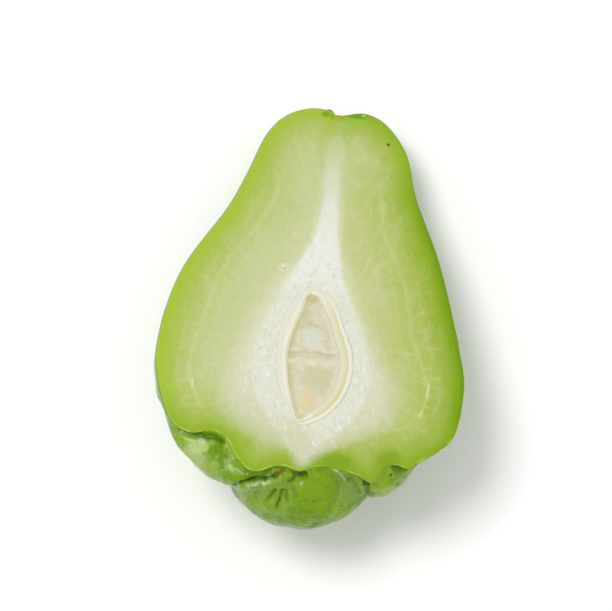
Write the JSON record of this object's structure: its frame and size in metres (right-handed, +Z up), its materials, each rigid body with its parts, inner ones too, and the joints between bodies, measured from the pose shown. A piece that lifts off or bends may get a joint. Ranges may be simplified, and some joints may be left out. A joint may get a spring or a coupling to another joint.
{
  "type": "chayote squash half",
  "caption": "Pear-shaped green squash cut lengthwise, lying on its rounded back with the pale cut face and the seed in its coat showing.",
  "frame": {"origin": "on the table, below the middle of the half", "axes": "+Y along the fruit from the blossom end to the stem end, +Z up; the cut face looks up and leans 16.75 degrees towards the stem"},
  "size_m": [0.088, 0.1292, 0.05],
  "materials": {
    "flesh_and_skin": "satin",
    "seed_coat": "satin",
    "seed_kernel": "satin"
  },
  "bodies": {
    "root": {"fruit_half": "flesh_and_skin", "seed_coat": "seed_coat", "seed_kernel": "seed_kernel"}
  },
  "joints": []
}
